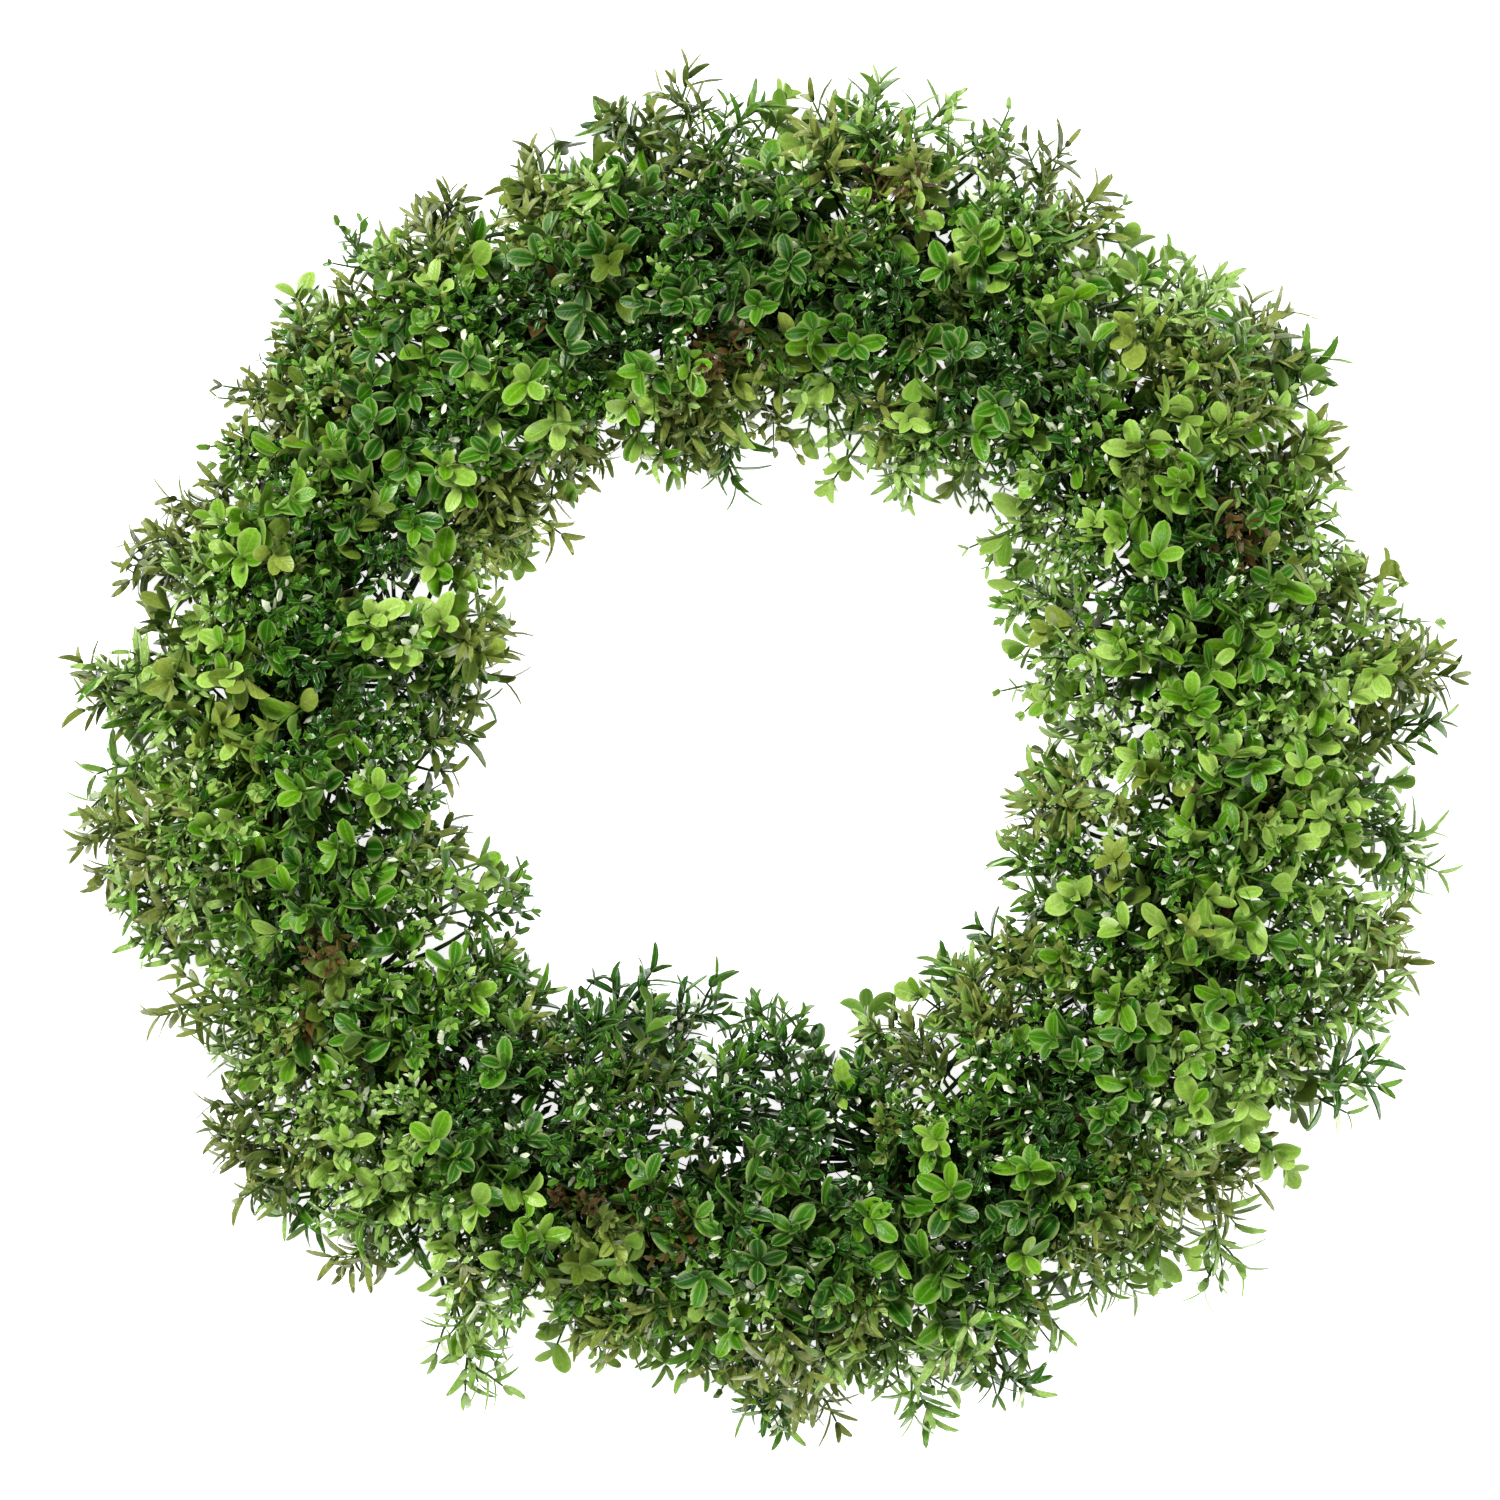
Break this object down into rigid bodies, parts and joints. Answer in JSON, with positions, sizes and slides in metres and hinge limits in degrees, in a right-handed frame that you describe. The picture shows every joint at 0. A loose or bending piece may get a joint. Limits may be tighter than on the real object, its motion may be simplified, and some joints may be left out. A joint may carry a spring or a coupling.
{
  "type": "boxwood wreath",
  "caption": "Round wreath of broad-leaved and fine-leaved boxwood sprigs seated on a ring of twisted vines, lying face up.",
  "frame": {"origin": "middle of the ring, on the surface that the wreath lies on", "axes": "+Z out of the wreath's face, +Y towards the top of the picture, +X to its right"},
  "size_m": [0.556, 0.5544, 0.1041],
  "materials": {
    "vine_bark": "rough dry bark",
    "broad_leaf": "satin leaf, pale rims",
    "fine_leaf": "satin leaf, glossy points"
  },
  "bodies": {
    "root": {"vine_1": "vine_bark", "vine_2": "vine_bark", "vine_3": "vine_bark", "boxwood_sprig_outer_01": "broad_leaf", "fine_sprig_outer_02": "fine_leaf", "boxwood_sprig_outer_03": "broad_leaf", "fine_sprig_outer_04": "fine_leaf", "boxwood_sprig_outer_05": "broad_leaf", "fine_sprig_outer_06": "fine_leaf", "boxwood_sprig_outer_07": "broad_leaf", "fine_sprig_outer_08": "fine_leaf", "boxwood_sprig_outer_09": "broad_leaf", "fine_sprig_outer_10": "fine_leaf", "boxwood_sprig_outer_11": "broad_leaf", "fine_sprig_outer_12": "fine_leaf", "boxwood_sprig_outer_13": "broad_leaf", "fine_sprig_outer_14": "fine_leaf", "fine_sprig_front_01": "fine_leaf", "boxwood_sprig_front_02": "broad_leaf", "fine_sprig_front_03": "fine_leaf", "boxwood_sprig_front_04": "broad_leaf", "fine_sprig_front_05": "fine_leaf", "boxwood_sprig_front_06": "broad_leaf", "fine_sprig_front_07": "fine_leaf", "boxwood_sprig_front_08": "broad_leaf", "fine_sprig_front_09": "fine_leaf", "boxwood_sprig_front_10": "broad_leaf", "fine_sprig_front_11": "fine_leaf", "boxwood_sprig_front_12": "broad_leaf", "fine_sprig_front_13": "fine_leaf", "boxwood_sprig_inner_01": "broad_leaf", "fine_sprig_inner_02": "fine_leaf", "boxwood_sprig_inner_03": "broad_leaf", "fine_sprig_inner_04": "fine_leaf", "boxwood_sprig_inner_05": "broad_leaf", "fine_sprig_inner_06": "fine_leaf", "boxwood_sprig_inner_07": "broad_leaf", "fine_sprig_inner_08": "fine_leaf", "boxwood_sprig_inner_09": "broad_leaf"}
  },
  "joints": []
}
